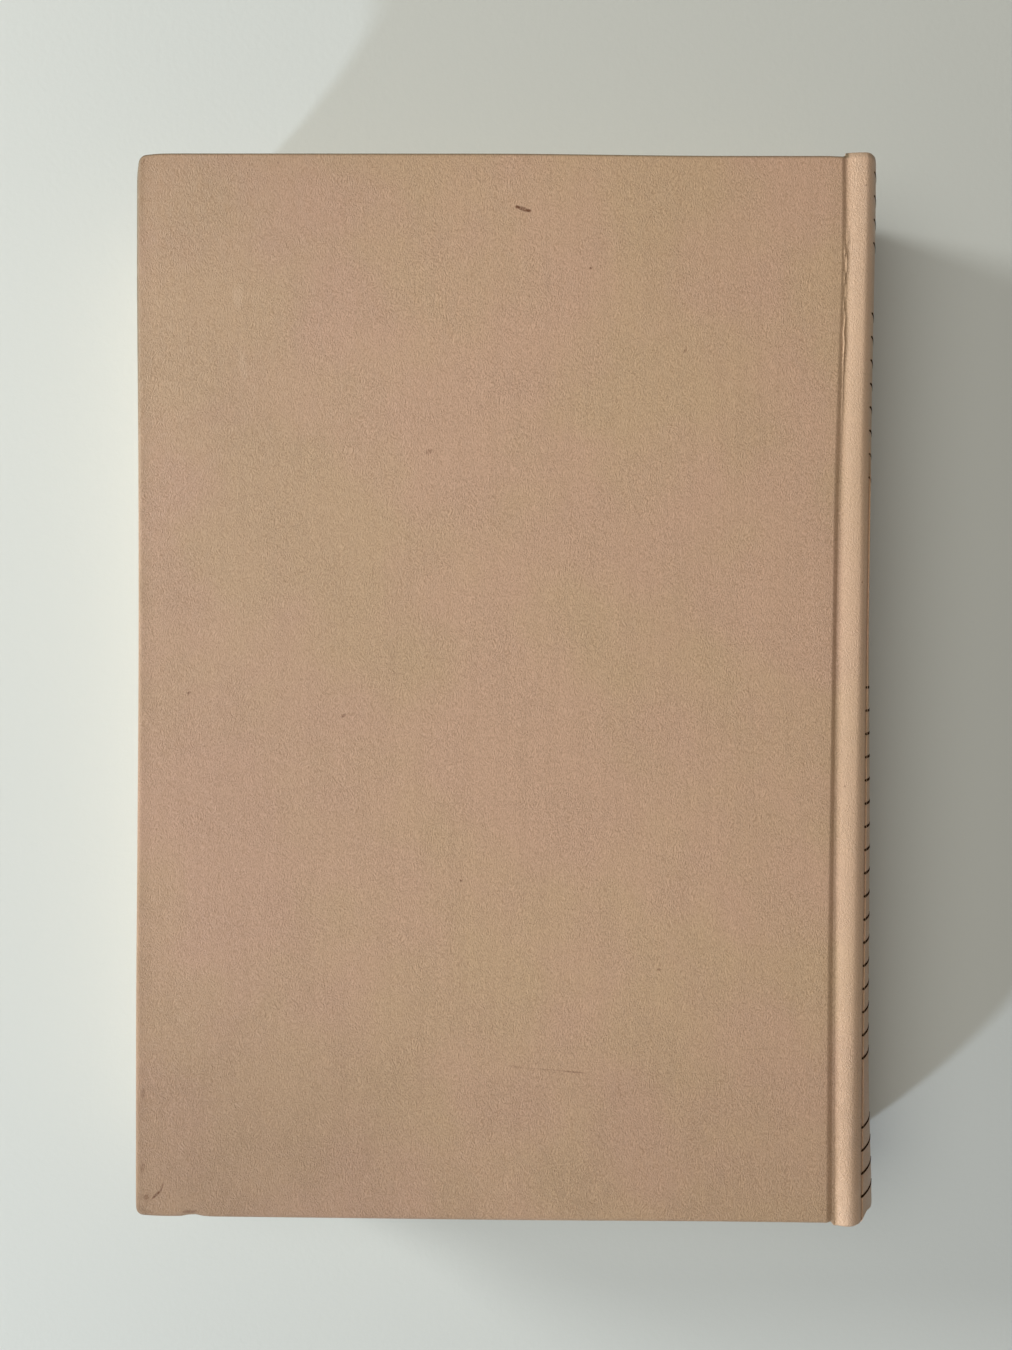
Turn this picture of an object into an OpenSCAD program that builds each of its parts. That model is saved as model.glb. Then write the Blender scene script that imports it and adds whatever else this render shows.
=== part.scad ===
// Case-bound hardback book, closed and lying on its front cover, with its spine towards +X.
// The text block is rounded and backed, and it hangs in a hollow-backed case with French grooves.
// Section parts are drawn about the book's middle plane, with x = 0 at the boards' spine edge.

/* [Cover boards] */
// Height of a covered board, head to tail
cover_h = 211; // [150:1:280]
// Width of a covered board, fore-edge to groove
cover_w = 138; // [100:1:200]
// Thickness of the greyboard
board_t = 2.5; // [1.5:0.1:3.5]
// Thickness of the leatherette
covering_t = 0.3; // [0.2:0.05:0.4]
// Width of the leatherette folded over onto the inner faces
turn_in = 15; // [10:1:20]
// Radius of a covered board's two fore-edge corners, seen from above
corner_r = 1.6; // [1.2:0.1:5]
// Radius of a covered board's long edges
edge_r = 0.8; // [0.6:0.1:1.2]
// Angle in degrees by which the back cover has slipped askew on the text block
back_skew = 0.35; // [0:0.05:0.5]

/* [Text block] */
// Thickness of the leaves between the two endpapers
pages_t = 21.8; // [10:0.1:45]
// Overhang of the boards past the trimmed leaves
square_w = 3; // [2:0.5:4]
// Thickness of an endpaper
endpaper_t = 0.2; // [0.15:0.05:0.3]
// Free gap between a closed cover and the leaf beside it
cover_gap = 0.1; // [0.05:0.05:0.2]
// Depth of the hollow in the fore-edge
fore_hollow = 3.5; // [1:0.5:5]
// Distance from the groove's foot to the base of the block's shoulder
shoulder_setback = 0.7; // [0.6:0.1:1]
// Drop from the crest of the covering to the tip of the block's shoulder
shoulder_drop = 0.9; // [0.8:0.1:1.2]

/* [Grooves and spine] */
// Width of the groove's flat floor beside the board
groove_floor_w = 1.2; // [1.1:0.1:2.5]
// Width of the slope from the groove's floor to the crest of the shoulder
rise_w = 2.8; // [2.6:0.1:4]
// Width of the shoulder from its crest to the crease at the spine
ridge_w = 2.6; // [2.2:0.1:4]
// Drop of the crest below the cover's face, which clears the opened cover
crest_drop = 0.4; // [0.3:0.1:0.8]
// Drop from the crest to the crease
crease_drop = 0.5; // [0.3:0.1:0.8]
// Bulge of the rounded spine past the crease
spine_round = 4.6; // [4:0.1:7]
// Length by which the spine's covering stands past the boards at each end
spine_over = 0.7; // [0:0.1:1]
// Distance from the boards' spine edge to the hinge line
hinge_offset = 1; // [0.9:0.1:1.1]
// Free gap between a board and what is fixed in the groove
joint_clearance = 0.15; // [0.1:0.05:0.25]

/* [Spine layers] */
// Thickness of the card inlay
inlay_t = 0.6; // [0.4:0.1:0.8]
// Distance from the crease down to the inlay's edge
inlay_inset = 0.5; // [0.4:0.1:1.5]
// Free gap inside the hollow back, past the covering that is folded in
hollow_gap = 0.2; // [0.1:0.05:0.3]
// Thickness of the paper lining
lining_t = 0.2; // [0.1:0.05:0.3]
// Height that the lining leaves bare at each end of the block
lining_short = 1; // [0.5:0.5:6]
// Thickness of the gauze
gauze_t = 0.3; // [0.2:0.05:0.3]
// Height that the gauze leaves bare at each end of the block
gauze_short = 14; // [13:1:20]
// Width of the gauze that is glued to each board
flap_w = 25; // [15:1:35]
// Thickness of the glue film on the folds
glue_t = 0.3; // [0.2:0.05:0.4]
// Distance from the shoulder's tip down to the edges of glue, lining and bands
layer_inset = 0.5; // [0.4:0.1:2]

/* [Head and tail bands] */
// Radius of the band's bead
bead_r = 0.9; // [0.6:0.1:1.1]
// Length of the band's tape that is glued to the spine
tape_l = 8; // [5:1:11]

/* [Pastedowns] */
// Width of the step where a pastedown climbs onto a turn-in
paste_step = 0.3; // [0.25:0.05:0.5]
// Free gap round the turned-in covering and the gauze flap
paste_fit = 0.2; // [0.1:0.05:0.4]

/* [Stamped strokes] */
// Distance from one stroke to the next
stroke_pitch = 4.62; // [4:0.01:5]
// Shift of the row of strokes from the middle towards the head
stroke_shift = 0.9; // [-2:0.1:2]
// Width of a stroke
stroke_w = 0.45; // [0.2:0.05:0.8]
// Thickness of the stamped foil
stroke_t = 0.08; // [0.05:0.01:0.1]
// Drop of a stroke from the crease down the spine's curve
stroke_drop = 7; // [3:0.5:9]

/* [Hidden] */
$fn = 96;

// Colours
leatherette = [0.74, 0.61, 0.50];
greyboard = [0.62, 0.60, 0.56];
leaf_paper = [0.92, 0.87, 0.75];
endpaper = [0.93, 0.90, 0.82];
gauze_cloth = [0.88, 0.86, 0.80];
glue_film = [0.90, 0.86, 0.70];
lining_paper = [0.72, 0.60, 0.44];
inlay_card = [0.70, 0.66, 0.58];
band_cloth = [0.80, 0.74, 0.62];
dark_foil = [0.22, 0.14, 0.09];

// Levels above the middle plane
block_z = pages_t / 2;
leaf_z = block_z + endpaper_t;
closed_z = leaf_z + cover_gap;
paste_z = closed_z + endpaper_t;
under_paste = max(covering_t, gauze_t);
board_z = paste_z + under_paste;
total_t = 2 * (board_z + board_t + covering_t);
face_z = total_t / 2;
floor_z = paste_z + gauze_t + covering_t;
crest_z = face_z - crest_drop;
crease_z = crest_z - crease_drop;
tip_z = crest_z - shoulder_drop;

// Stations from the boards' spine edge
foot_x = groove_floor_w;
crest_x = foot_x + rise_w;
crease_x = crest_x + ridge_w;
apex_x = crease_x + spine_round;
fore_x = square_w - cover_w;
shoulder_x = foot_x + shoulder_setback;
fold_x = shoulder_x - joint_clearance;

// Lengths from head to tail
block_h = cover_h - 2 * square_w;
spine_h = cover_h + 2 * spine_over;

// Radii of the spine's layers about one centre
spine_r = (crease_z * crease_z + spine_round * spine_round) / (2 * spine_round);
centre_x = apex_x - spine_r;
inlay_r = spine_r - covering_t;
fold_in_r = inlay_r - inlay_t;
lining_r = fold_in_r - covering_t - hollow_gap;
gauze_r = lining_r - lining_t;
glue_r = gauze_r - gauze_t;
pages_r = glue_r - glue_t;
layer_z = tip_z - layer_inset;

// The slipped back cover's corners give the book's outermost points
corner_x = corner_r - cover_w - hinge_offset;
corner_y = cover_h / 2 - corner_r;
low_x = hinge_offset + corner_x * cos(back_skew) - corner_y * sin(back_skew) - corner_r;
slipped_y = corner_y * cos(back_skew) - corner_x * sin(back_skew) + corner_r;
high_y = max(slipped_y, spine_h / 2);
low_y = -spine_h / 2;

// Strokes are counted from the head, and some places are bare
stroke_count = 45;
bare_runs = [[4, 5], [14, 21], [39, 40]];

// The covering's outer line from the groove to the crease
path_back = 3;
rise_steps = 12;
ridge_steps = 6;
path_xs = concat(
    [-path_back],
    [for (i = [0:rise_steps]) foot_x + rise_w * i / rise_steps],
    [for (i = [1:ridge_steps]) crest_x + ridge_w * i / ridge_steps]
);
path_end = len(path_xs) - 1;
crest_index = path_end - ridge_steps;
// Where the gauze has left the covering, past the crest
gauze_last = crest_index + 2;

function rise_part(x) = (1 - cos(180 * (x - foot_x) / rise_w)) / 2;
function ridge_part(x) = (x - crest_x) / ridge_w;
function path_z(x) =
    x <= foot_x ? floor_z :
    x <= crest_x ? floor_z + (crest_z - floor_z) * rise_part(x) :
    crest_z - crease_drop * ridge_part(x) * ridge_part(x);
function path_point(i) = [path_xs[i], path_z(path_xs[i])];
function path_run(i) = path_point(min(i + 1, path_end)) - path_point(max(i - 1, 0));
function path_inward(i) = [path_run(i)[1], -path_run(i)[0]] / norm(path_run(i));
function sunk_path(depth, last) = [for (i = [0:last]) path_point(i) + depth * path_inward(i)];
function back_to_front(points) = [for (i = [len(points) - 1:-1:0]) points[i]];
function stroke_y(k) = stroke_shift + ((stroke_count - 1) / 2 - k) * stroke_pitch;
function is_bare(k) = len([for (run = bare_runs) if (k >= run[0] && k <= run[1]) 1]) > 0;

// How far a shape runs on into what it joins or cuts
lap = 1;

// Puts the book's lowest face on z = 0 and its middle on the Z axis
module placed() {
    translate([-(low_x + apex_x) / 2, -(low_y + high_y) / 2, total_t / 2]) children();
}

// Turns what is drawn for the back cover to where it lies, or mirrors it to the front cover
module on_cover(side) {
    mirror([0, 0, side == "front" ? 1 : 0])
        translate([hinge_offset, 0, 0])
        rotate([0, 0, side == "back" ? -back_skew : 0])
        translate([-hinge_offset, 0, 0])
        children();
}

// Extrudes a section drawn in x and z along the height of the book
module along_height(height) {
    rotate([90, 0, 0]) linear_extrude(height, center = true) children();
}

// A rounded bar seen end on, with its width centred on the origin
module soft_bar(width, depth, r) {
    square([width - 2 * r, depth], center = true);
    square([width, depth - 2 * r], center = true);
    for (sx = [-1, 1], sy = [-1, 1])
        translate([sx * (width / 2 - r), sy * (depth / 2 - r)]) circle(r);
}

// A board's outline with rounded fore-edge corners and a square spine edge
module board_outline(width, height, r) {
    translate([r - width / 2, -height / 2]) square([width - r, height]);
    translate([-width / 2, r - height / 2]) square([width, height - 2 * r]);
    for (sy = [-1, 1]) translate([r - width / 2, sy * (height / 2 - r)]) circle(r);
}

// A board with soft edges, its spine edge on x = 0 and its inner face on z = 0
module soft_board(width, height, depth, plan_r, r) {
    translate([-width / 2, 0, depth / 2]) intersection() {
        linear_extrude(depth, center = true) board_outline(width, height, plan_r);
        rotate([90, 0, 0]) linear_extrude(height, center = true) soft_bar(width, depth, r);
        rotate([90, 0, 90]) linear_extrude(width, center = true) soft_bar(height, depth, r);
    }
}

module bare_board() {
    translate([-covering_t, 0, board_z])
        soft_board(
            cover_w - 2 * covering_t, cover_h - 2 * covering_t, board_t,
            corner_r - covering_t, edge_r - covering_t
        );
}

module board(side) {
    color(greyboard) placed() on_cover(side) bare_board();
}

// The leatherette wraps all four edges and is folded in at head, tail and fore-edge
module covering(side) {
    color(leatherette) placed() on_cover(side) difference() {
        translate([0, 0, board_z - covering_t])
            soft_board(cover_w, cover_h, board_t + 2 * covering_t, corner_r, edge_r);
        bare_board();
        translate([turn_in - cover_w, turn_in - cover_h / 2, board_z - 2 * covering_t])
            cube([cover_w, cover_h - 2 * turn_in, 2 * covering_t]);
    }
}

module gauze_flap(side) {
    flap_h = block_h - 2 * gauze_short;
    color(gauze_cloth) placed() on_cover(side)
        translate([-flap_w, -flap_h / 2, board_z - gauze_t])
        cube([flap_w - covering_t, flap_h, gauze_t]);
}

// A sheet that lies on the board and climbs onto the turn-ins and the gauze flap round it
module pastedown(side) {
    low_edge = turn_in - cover_w + paste_fit;
    high_edge = -flap_w - paste_fit;
    half_h = cover_h / 2 - turn_in - paste_fit;
    tray_w = high_edge - low_edge;
    sheet_w = -covering_t - fore_x;
    color(endpaper) placed() on_cover(side) difference() {
        translate([fore_x, -block_h / 2, closed_z])
            cube([sheet_w, block_h, board_z - closed_z]);
        difference() {
            translate([fore_x - lap, -block_h / 2 - lap, paste_z])
                cube([sheet_w + 2 * lap, block_h + 2 * lap, under_paste + lap]);
            translate([low_edge, -half_h, closed_z])
                cube([tray_w, 2 * half_h, under_paste + 2 * lap]);
        }
        translate([low_edge + paste_step, paste_step - half_h, closed_z - lap])
            cube([tray_w - 2 * paste_step, 2 * (half_h - paste_step), under_paste + lap]);
    }
}

// The space that the covers and their clearance take beside the grooves
module cover_space() {
    for (side = ["back", "front"])
        on_cover(side)
            translate([-cover_w, -cover_h, leaf_z])
            cube([cover_w + joint_clearance, 2 * cover_h, face_z]);
}

// A band that follows the groove and the shoulder, at two depths under the covering's face
module groove_ribbon(from, to, last) {
    polygon(concat(sunk_path(from, last), back_to_front(sunk_path(to, last))));
}

module both_sides() {
    children();
    mirror([0, 1]) children();
}

// A layer of the spine between two radii, as far as a level above and below the middle
module spine_arc(inner_r, outer_r, half_z) {
    translate([centre_x, 0]) intersection() {
        difference() {
            circle(outer_r, $fn = 180);
            circle(inner_r, $fn = 180);
        }
        translate([0, -half_z]) square([2 * outer_r, 2 * half_z]);
    }
}

module pages() {
    hollow_r_fore = (block_z * block_z + fore_hollow * fore_hollow) / (2 * fore_hollow);
    color(leaf_paper) placed() along_height(block_h) {
        difference() {
            translate([fore_x, -block_z]) square([shoulder_x - fore_x, pages_t]);
            translate([fore_x + fore_hollow - hollow_r_fore, 0]) circle(hollow_r_fore, $fn = 180);
        }
        intersection() {
            polygon([
                [shoulder_x - lap, -block_z], [shoulder_x, -block_z], [crest_x, -tip_z],
                [apex_x, -tip_z], [apex_x, tip_z], [crest_x, tip_z],
                [shoulder_x, block_z], [shoulder_x - lap, block_z]
            ]);
            translate([centre_x, 0]) circle(pages_r, $fn = 180);
        }
    }
}

// A free leaf, with the fold at the shoulder and the strip that leads back to the board
module flyleaf(side) {
    flip = side == "front" ? 1 : 0;
    color(endpaper) placed() {
        mirror([0, 0, flip]) translate([fore_x, -block_h / 2, block_z])
            cube([fold_x - fore_x, block_h, endpaper_t]);
        difference() {
            mirror([0, 0, flip]) translate([-path_back, -block_h / 2, block_z])
                cube([fold_x + path_back, block_h, paste_z - block_z]);
            cover_space();
        }
    }
}

module spine_glue() {
    color(glue_film) placed() along_height(block_h) spine_arc(pages_r, glue_r, layer_z);
}

module spine_gauze() {
    gauze_h = block_h - 2 * gauze_short;
    color(gauze_cloth) placed() difference() {
        union() {
            along_height(gauze_h) spine_arc(glue_r, gauze_r, crest_z - covering_t - gauze_t / 2);
            along_height(gauze_h)
                both_sides() groove_ribbon(covering_t, covering_t + gauze_t, gauze_last);
        }
        cover_space();
    }
}

module spine_lining() {
    color(lining_paper) placed() along_height(block_h - 2 * lining_short)
        spine_arc(gauze_r, lining_r, layer_z);
}

// A bead that sits on the end of the block, on a tape that is glued to the spine
module band(at) {
    reach = asin(layer_z / gauze_r);
    color(band_cloth) placed() mirror([0, at == "tail" ? 1 : 0, 0])
        translate([centre_x, 0, 0]) rotate([-90, 0, 0]) rotate([0, 0, -reach])
        rotate_extrude(angle = 2 * reach, $fn = 180) {
            translate([gauze_r - bead_r, block_h / 2 + bead_r]) circle(bead_r, $fn = 32);
            translate([glue_r, block_h / 2 - tape_l]) square([gauze_t, tape_l + bead_r]);
        }
}

module spine_inlay() {
    color(inlay_card) placed() along_height(spine_h - 2 * covering_t)
        spine_arc(fold_in_r, inlay_r, crease_z - inlay_inset);
}

// One sheet from groove to groove, folded in over the inlay at head and tail
module spine_covering() {
    fold_z = crease_z - inlay_inset;
    color(leatherette) placed() {
        difference() {
            along_height(spine_h) {
                spine_arc(inlay_r, spine_r, crease_z);
                both_sides() groove_ribbon(0, covering_t, path_end);
            }
            cover_space();
        }
        for (sy = [-1, 1]) {
            translate([0, sy * (spine_h - covering_t) / 2, 0]) along_height(covering_t)
                spine_arc(fold_in_r - covering_t, inlay_r + covering_t / 2, fold_z);
            translate([0, sy * (spine_h - turn_in) / 2, 0]) along_height(turn_in)
                spine_arc(fold_in_r - covering_t, fold_in_r, fold_z);
        }
    }
}

// Strokes that start at the crease and run straight down the curve of the spine
module strokes(side) {
    color(dark_foil) placed() mirror([0, 0, side == "front" ? 1 : 0]) intersection() {
        along_height(spine_h) spine_arc(spine_r, spine_r + stroke_t, crease_z);
        for (k = [0:stroke_count - 1])
            if (!is_bare(k))
                translate([0, stroke_y(k) - stroke_w / 2, crease_z - stroke_drop])
                cube([2 * apex_x, stroke_w, 2 * stroke_drop]);
    }
}

pages();
flyleaf("back");  // back_flyleaf
flyleaf("front");  // front_flyleaf
spine_glue();
spine_gauze();
spine_lining();
band("head");  // head_band
band("tail");  // tail_band
spine_inlay();
spine_covering();
strokes("back");  // back_edge_strokes
strokes("front");  // front_edge_strokes
board("back");  // back_board
covering("back");  // back_covering
gauze_flap("back");  // back_gauze_flap
pastedown("back");  // back_pastedown
board("front");  // front_board
covering("front");  // front_covering
gauze_flap("front");  // front_gauze_flap
pastedown("front");  // front_pastedown
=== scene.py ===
import math

import bpy
import numpy as np
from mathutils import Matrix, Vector


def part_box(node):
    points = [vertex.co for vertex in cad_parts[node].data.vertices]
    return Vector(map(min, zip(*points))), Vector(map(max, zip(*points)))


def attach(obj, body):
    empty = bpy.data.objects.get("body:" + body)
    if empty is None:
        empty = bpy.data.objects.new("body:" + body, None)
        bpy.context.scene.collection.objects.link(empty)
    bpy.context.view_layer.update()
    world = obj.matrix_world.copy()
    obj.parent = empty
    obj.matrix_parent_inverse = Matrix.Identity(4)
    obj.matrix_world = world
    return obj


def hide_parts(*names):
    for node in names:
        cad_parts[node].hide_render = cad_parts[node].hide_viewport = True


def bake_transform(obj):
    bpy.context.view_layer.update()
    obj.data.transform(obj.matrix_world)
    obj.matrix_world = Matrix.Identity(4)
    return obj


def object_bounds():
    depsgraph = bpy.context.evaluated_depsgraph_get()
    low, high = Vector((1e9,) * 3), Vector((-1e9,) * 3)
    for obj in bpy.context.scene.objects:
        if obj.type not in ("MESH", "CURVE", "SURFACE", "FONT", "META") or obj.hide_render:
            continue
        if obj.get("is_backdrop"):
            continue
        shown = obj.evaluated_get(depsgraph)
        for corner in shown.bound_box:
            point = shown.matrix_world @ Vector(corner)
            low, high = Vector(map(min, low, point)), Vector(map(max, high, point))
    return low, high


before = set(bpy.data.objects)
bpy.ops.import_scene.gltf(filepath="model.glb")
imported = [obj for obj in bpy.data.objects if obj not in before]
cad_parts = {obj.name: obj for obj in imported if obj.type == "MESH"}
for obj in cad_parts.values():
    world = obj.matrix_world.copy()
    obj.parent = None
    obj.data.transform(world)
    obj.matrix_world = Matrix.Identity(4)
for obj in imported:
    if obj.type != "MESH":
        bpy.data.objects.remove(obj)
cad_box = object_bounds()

# Lengths are in millimetres up to the point where a mesh, a lamp or the camera is made.
MM = 0.001

# Sizes that repeat the solids'. They are measured from the board's edge at the joint towards the
# spine in x, from the middle of the height in y and from the middle of the thickness in z.
COVER_H, COVER_W = 211.0, 138.0
COVERING_T = 0.3
TURN_IN = 15.0
CORNER_R = 1.6
SQUARE = 3.0
BACK_SKEW = math.radians(0.35)
HINGE_X = 1.0
BLOCK_Z, LEAF_Z, CLOSED_Z, PASTE_Z, BOARD_Z = 10.9, 11.1, 11.2, 11.4, 11.7
FLOOR_Z, CREST_Z, CREASE_Z, FACE_Z = 12.0, 14.1, 13.6, 14.5
LOW_Z = BOARD_Z - COVERING_T
TIP_Z = 13.2
SHOULDER_X, FOLD_X = 1.9, 1.75
SPINE_OVER = 0.7
SPINE_ROUND = 4.6
CREASE_X = 6.6
FORE_X = SQUARE - COVER_W
BLOCK_H = COVER_H - 2 * SQUARE
SPINE_R = (CREASE_Z ** 2 + SPINE_ROUND ** 2) / (2 * SPINE_ROUND)
HOLLOW_GAP, INLAY_T, LINING_T, GAUZE_T, GLUE_T, GAUZE_SHORT = 0.2, 0.6, 0.2, 0.3, 0.3, 14.0
PAGES_R = SPINE_R - 2 * COVERING_T - INLAY_T - HOLLOW_GAP - LINING_T - GAUZE_T - GLUE_T
CENTRE_X = CREASE_X + SPINE_ROUND - SPINE_R
FORE_HOLLOW = 3.5

board_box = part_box("front_board")
ORIGIN = np.array([
    board_box[1].x / MM + COVERING_T,
    (board_box[0].y + board_box[1].y) / 2 / MM,
    FACE_Z,
])

# How the joints lie along the book: each table gives a place across the book, or a level, for a height
# above the middle, tail first. FORE_BOW is how far the back board's fore-edge swells outwards.
HEIGHTS = (-106, -62, -41, -2, 14, 28, 41, 52, 62, 77, 90, 97, 106)
BACK = {
    "edge": (-0.2, -0.2, -0.1, 0.2, 0.35, 0.5, 0.75, 1.05, 1.35, 1.8, 1.95, 1.9, 1.8),
    "foot": (0.8, 0.75, 0.75, 0.8, 0.9, 1.1, 1.45, 1.75, 2.05, 2.3, 2.4, 2.35, 2.3),
    "crest": (3.3, 3.75, 3.95, 4.55, 4.85, 4.95, 5.0, 5.1, 5.4, 5.6, 5.9, 6.1, 6.1),
    "crease": (6.5, 6.6, 6.85, 7.0, 7.1, 7.3, 7.45, 7.55, 7.7, 8.0, 8.3, 8.4, 8.4),
    "floor": (13.97, 13.98, 13.99, 14.02, 14.02, 14.02, 14.01, 14.02, 14.07, 14.12, 14.17, 14.18, 14.15),
    "soft": (1.0, 0.95, 0.85, 0.7, 0.65, 0.7, 0.8, 0.85, 0.85, 0.7, 0.55, 0.55, 0.6),
    "top": (14.9, 14.65, 14.62, 14.62, 14.62, 14.62, 14.62, 14.62, 14.65, 14.68, 14.7, 14.7, 14.7),
    "start": (13.0, 13.1, 13.15, 13.2, 13.2, 13.2, 13.15, 13.1, 13.1, 13.05, 13.0, 13.0, 13.0),
    "valley": (0.36, 0.34, 0.32, 0.28, 0.2, 0.14, 0.08, 0.04, 0.02, 0.0, 0.0, 0.0, 0.0),
}
FRONT = {key: (value,) * len(HEIGHTS) for key, value in (
    ("edge", 0.0), ("foot", 1.4), ("crest", 4.0), ("crease", 6.7), ("floor", 13.1),
    ("soft", 0.6), ("top", 14.1), ("start", 13.0), ("valley", 0.15),
)}
FORE_BOW = (0.18, 0.25, 0.12, -0.08, -0.08, -0.04, 0.02, 0.11, 0.22, 0.4, 0.48, 0.42, 0.45)
APEX_HEIGHTS = (-106, -93, -84, -64, -43, -23, -2, 14, 30, 46, 58, 78, 94, 106)
APEX = (12.0, 11.6, 11.05, 10.85, 10.9, 10.85, 10.5, 10.25, 10.3, 10.5, 10.55, 10.9, 11.2, 11.2)
FOLD_HEIGHTS = (50, 58, 64, 70, 76, 87, 100)
FOLD_PLACES = (1.6, 1.75, 1.85, 2.0, 2.1, 2.35, 2.45)
FOLD_W = 0.18

FILLET = 0.4
EDGE_R = 0.9
CORNER_ZONE = 20.0
# The sheets, a little thinner than the solids so that none pokes through the next
LEATHER_T, CLOTH_T, PAPER_T = 0.28, 0.25, 0.17


def smooth(t):
    t = np.clip(t, 0.0, 1.0)
    return t * t * (3 - 2 * t)


def eased(y, keys, values):
    """Values between keys, with level passages at the keys rounded off."""
    y = np.asarray(y, float)
    spread = (-9.0, -6.0, -3.0, 0.0, 3.0, 6.0, 9.0)
    return sum(np.interp(y + s, keys, values) for s in spread) / len(spread)


def along(side, name, y):
    return eased(y, HEIGHTS, (BACK if side == "back" else FRONT)[name])


def apex(y):
    return eased(y, APEX_HEIGHTS, APEX)


def arc_share(z, start=CREASE_Z):
    """How far the round of the spine has come out of the crease at a level, from 0 to 1."""
    low = np.sqrt(SPINE_R ** 2 - np.asarray(start, float) ** 2)
    return (np.sqrt(SPINE_R ** 2 - np.asarray(z, float) ** 2) - low) / (SPINE_R - low)


# The covering's outer line. A station is a zone with a share of the way across it. In the corner zone
# the share is a ring parameter, below 0 where the sheet goes round the edge.
CORNER_TAUS = (
    [-4.0, -3.66, -3.33, -3.0, -2.75, -2.5, -2.25, -2.0, -1.66, -1.33, -1.0]
    + [-0.8, -0.6, -0.4, -0.2, 0.0, 0.35, 0.7, 1.1, 1.6, 2.3, 3.1, 4.0, 5.0]
    + [6.5, 8.0, 9.5, 11.0, 12.5, 14.0, 15.5, 17.0, 18.5, CORNER_ZONE]
)


def stations():
    cols = [("corner", t) for t in CORNER_TAUS]
    cols += [("face", i / 52) for i in range(1, 53)]
    cols += [("roll", i / 12) for i in range(1, 13)]
    cols += [("floor", i / 6) for i in range(1, 7)]
    cols += [("rise", i / 14) for i in range(1, 15)]
    cols += [("ridge", i / 12) for i in range(1, 13)]
    cols += [("arc", i / 26) for i in range(1, 27)]
    return cols


def first_of(cols, zone):
    return next(c for c, key in enumerate(cols) if key[0] == zone)


def ridge_z(side, s, y):
    """Level of the ridge at a share s of the way from its crest to the crease."""
    top = along(side, "top", y)
    return top - (top - along(side, "start", y)) * s * s


def section(side, zone, s, y):
    """Where a station of the covering's outer line lies, in x and z, at each height y."""
    y = np.asarray(y, float)
    edge, foot = along(side, "edge", y), along(side, "foot", y)
    floor = along(side, "floor", y)
    crest, crease = along(side, "crest", y), along(side, "crease", y)
    one = np.ones_like(y)
    soft = along(side, "soft", y)
    if zone == "face":
        skewed = math.sin(BACK_SKEW) * y if side == "back" else 0.0
        first = EDGE_R + CORNER_ZONE - COVER_W
        return first + (edge - soft - skewed - first) * s, FACE_Z * one
    if zone == "roll":
        s = s * one
        over = 0.35 * smooth(s) + 0.65 * s * s * (1.6 - 0.6 * s)
        return edge - soft + (soft + FILLET) * s, FACE_Z - (FACE_Z - floor) * over
    if zone == "floor":
        return edge + FILLET + (foot - edge - FILLET) * s, floor
    if zone == "rise":
        lift = 0.85 * (2 * s - s * s) + 0.15 * float(smooth(s))
        return foot + (crest - foot) * s, floor + (along(side, "top", y) - floor) * lift
    valley = along(side, "valley", y)
    if zone == "ridge":
        return crest + (crease - crest) * s, ridge_z(side, s, y) - valley * smooth((s - 0.82) / 0.18)
    valley = valley * (1 - smooth(s / 0.09))
    start = along(side, "start", y)
    z = start * math.cos(s * math.pi / 2) if s < 1 else 0.0 * one
    return crease + (apex(y) - crease) * arc_share(z, start) - 0.5 * valley, z - valley * (s < 1)


def wrap(rho, depth, r, in_depth):
    """Inset from the edge and depth under the face for a ring parameter.

    Below 0 the sheet goes round the edge: -1 ends the first rounding, -2 the wall, -3 the second
    rounding and -4 the turn-in.
    """
    if rho >= 0:
        return r + rho, 0.0
    if rho >= -1:
        a = -rho * math.pi / 2
        return r * (1 - math.sin(a)), r * (1 - math.cos(a))
    if rho >= -2:
        return 0.0, r + (depth - 2 * r) * (-rho - 1)
    if rho >= -3:
        a = (-rho - 2) * math.pi / 2
        return r * (1 - math.cos(a)), depth - r * (1 - math.sin(a))
    q = -rho - 3
    return r + (TURN_IN - r) * q, depth + (in_depth - depth) * float(smooth(q * 3))


def run_length(rho):
    """Distance along the sheet from the start of the flat face, negative round the edge."""
    arc, wall = EDGE_R * math.pi / 2, FACE_Z - LOW_Z - 2 * EDGE_R
    if rho >= 0:
        return rho
    parts = (arc, wall, arc, TURN_IN - EDGE_R)
    done, left = 0.0, -rho
    for p in parts:
        done += p * min(left, 1.0)
        left -= min(left, 1.0)
    return -done


def corner_point(ta, tb):
    """Insets from the fore-edge and from the nearer end, and the depth, in the corner zone."""
    depth = FACE_Z - LOW_Z
    rho, other = min(ta, tb), max(ta, tb)
    inset, down = wrap(rho, depth, EDGE_R, depth)
    if other >= CORNER_ZONE:
        cross, run = inset, EDGE_R + other
    else:
        share = (other - rho) / (CORNER_ZONE - rho)
        r = max(CORNER_R - inset, 0.0)
        arc, start = r * math.pi / 4, max(CORNER_R, inset)
        pos = share * (arc + EDGE_R + CORNER_ZONE - start)
        if pos < arc:
            a = math.pi / 4 * (1 - pos / arc)
            cross, run = CORNER_R - r * math.cos(a), CORNER_R - r * math.sin(a)
        else:
            cross, run = inset, start + pos - arc
    return (cross, run, down) if ta <= tb else (run, cross, down)


def rows():
    """Ring parameters from the tail's turn-in to the head's: (end, tau, nominal y)."""
    half = COVER_H / 2
    taus = [t for t in CORNER_TAUS if t < CORNER_ZONE]
    inner = half - EDGE_R - CORNER_ZONE
    out = [(-1, t, -(half - EDGE_R - max(t, 0.0))) for t in taus]
    y = -inner
    while y < inner + 1e-6:
        out.append((-1 if y < 0 else 1, half - EDGE_R - abs(y), y))
        y += 0.85 if 8 < y < 84 else 1.7
    out += [(1, t, half - EDGE_R - max(t, 0.0)) for t in reversed(taus)]
    return out


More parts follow.
